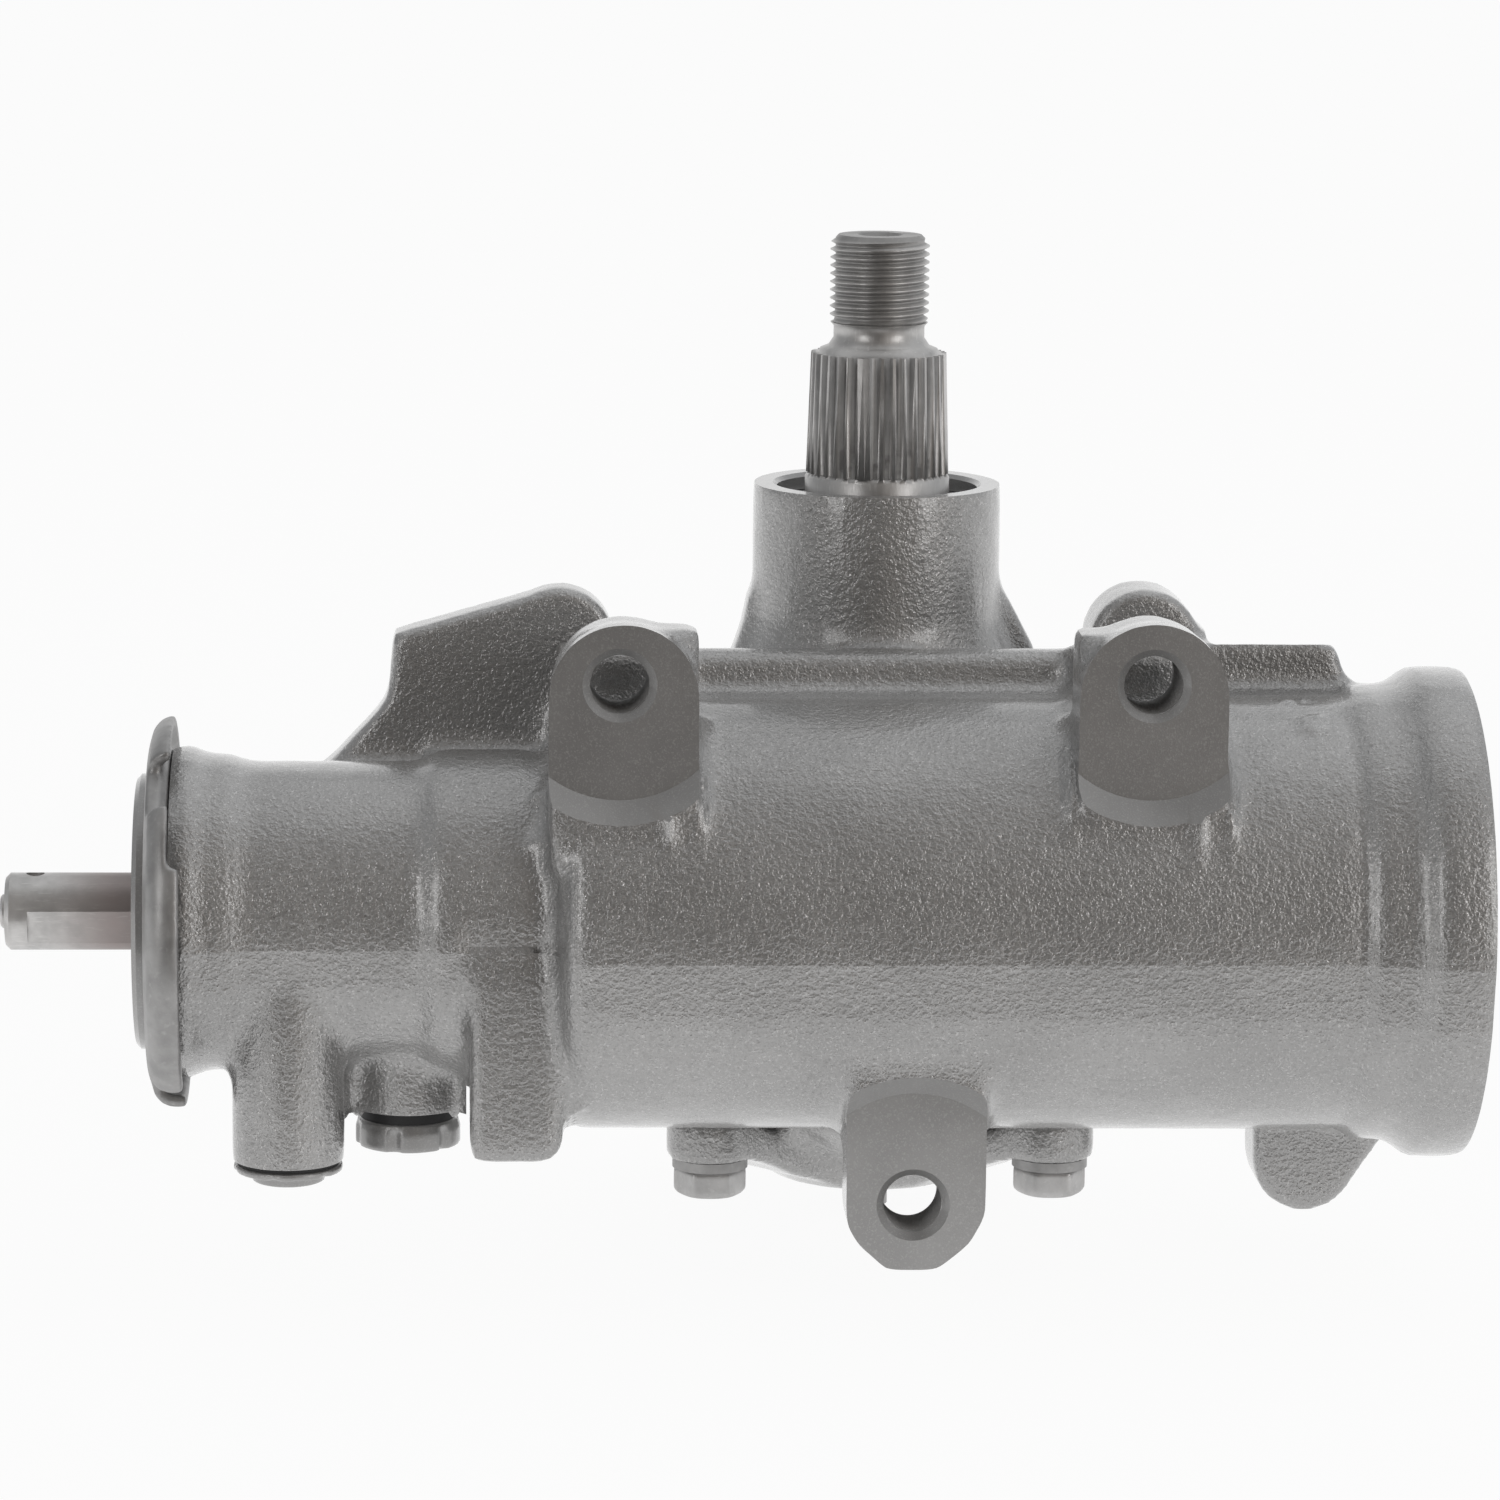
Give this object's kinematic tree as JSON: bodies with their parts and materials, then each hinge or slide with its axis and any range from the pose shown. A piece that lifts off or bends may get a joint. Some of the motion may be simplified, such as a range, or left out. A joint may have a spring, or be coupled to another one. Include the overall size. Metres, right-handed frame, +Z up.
{
  "type": "steering gearbox",
  "caption": "Recirculating-ball power-steering gear: cast housing with mounting lugs, input shaft at one end, serrated pitman shaft on top and plugged hydraulic ports.",
  "frame": {"origin": "on the worm axis, where the input shaft leaves the bearing adjuster plug", "axes": "+X along the worm axis from the input shaft into the gear, +Z up along the pitman shaft towards its thread, so the milled frame-mounting faces look towards -Y"},
  "size_m": [0.3184, 0.1537, 0.2227],
  "materials": {
    "cast_housing": "satin silver-grey paint over sand-cast iron",
    "painted_plug": "satin grey paint",
    "machined_iron": "machined",
    "plated_steel": "satin",
    "shaft_steel": "ground and hardened",
    "bearing_steel": "polished",
    "seal_rubber": "matt",
    "bush_brass": "machined",
    "ring_plastic": "matt"
  },
  "bodies": {
    "housing": {"gear_housing": "cast_housing", "side_cover": "cast_housing", "cover_seal": "seal_rubber", "side_cover_bolts": "plated_steel", "side_cover_washers": "plated_steel", "cover_bushing": "bush_brass", "lash_adjuster": "plated_steel", "adjuster_jam_nut": "plated_steel", "adjuster_plug": "machined_iron", "adjuster_locknut": "plated_steel", "adjuster_o_ring": "seal_rubber", "stub_dust_seal": "seal_rubber", "stub_seal": "seal_rubber", "stub_seal_ring": "bearing_steel", "stub_bearing_shell": "bearing_steel", "stub_bearing_needles": "bearing_steel", "upper_thrust_races": "bearing_steel", "upper_thrust_rollers": "bearing_steel", "lower_thrust_races": "bearing_steel", "lower_thrust_rollers": "bearing_steel", "housing_end_plug": "machined_iron", "end_plug_o_ring": "seal_rubber", "end_plug_retaining_ring": "bearing_steel", "pitman_bearing_shell": "bearing_steel", "pitman_bearing_needles": "bearing_steel", "pitman_seal": "seal_rubber", "pitman_seal_washer": "bearing_steel", "pitman_snap_ring": "bearing_steel", "left_port_plug": "painted_plug", "right_port_plug": "painted_plug", "port_plug_o_rings": "seal_rubber", "port_seats": "bush_brass"},
    "worm": {"worm_shaft": "shaft_steel", "valve_body": "shaft_steel", "valve_body_rings": "ring_plastic", "valve_drive_pin": "shaft_steel"},
    "input": {"stub_shaft": "shaft_steel", "valve_spool": "shaft_steel", "torsion_bar": "shaft_steel", "stub_pin": "shaft_steel"},
    "rack": {"rack_piston": "machined_iron", "piston_ring": "ring_plastic", "piston_ring_backup": "seal_rubber", "piston_end_plug": "shaft_steel", "recirculating_balls": "bearing_steel", "ball_return_guides": "plated_steel", "ball_guide_clamp": "plated_steel", "ball_guide_screws": "plated_steel"},
    "pitman": {"pitman_shaft": "shaft_steel", "adjuster_retainer": "plated_steel"}
  },
  "joints": [
    {"name": "worm_turn", "type": "hinge", "parent": "housing", "child": "worm", "pos_m": [0, 0, 0], "axis": [1, 0, 0], "range_deg": [-602.87, 602.87]},
    {"name": "valve_twist", "type": "hinge", "parent": "worm", "child": "input", "pos_m": [0, 0, 0], "axis": [1, 0, 0], "range_deg": [-5, 5], "stiffness_Nm_per_rad": 60},
    {"name": "rack_slide", "type": "slide", "parent": "housing", "child": "rack", "axis": [1, 0, 0], "range_m": [-0.02027, 0.02027]},
    {"name": "pitman_swing", "type": "hinge", "parent": "housing", "child": "pitman", "pos_m": [0.16426, 0.052, 0], "axis": [0, 0, 1], "range_deg": [-43.02, 43.02]}
  ],
  "couplings": [
    {"joint": "rack_slide", "follows": "worm_turn", "m_per_rad": -0.0019258},
    {"joint": "pitman_swing", "follows": "worm_turn", "ratio": -0.071325}
  ]
}
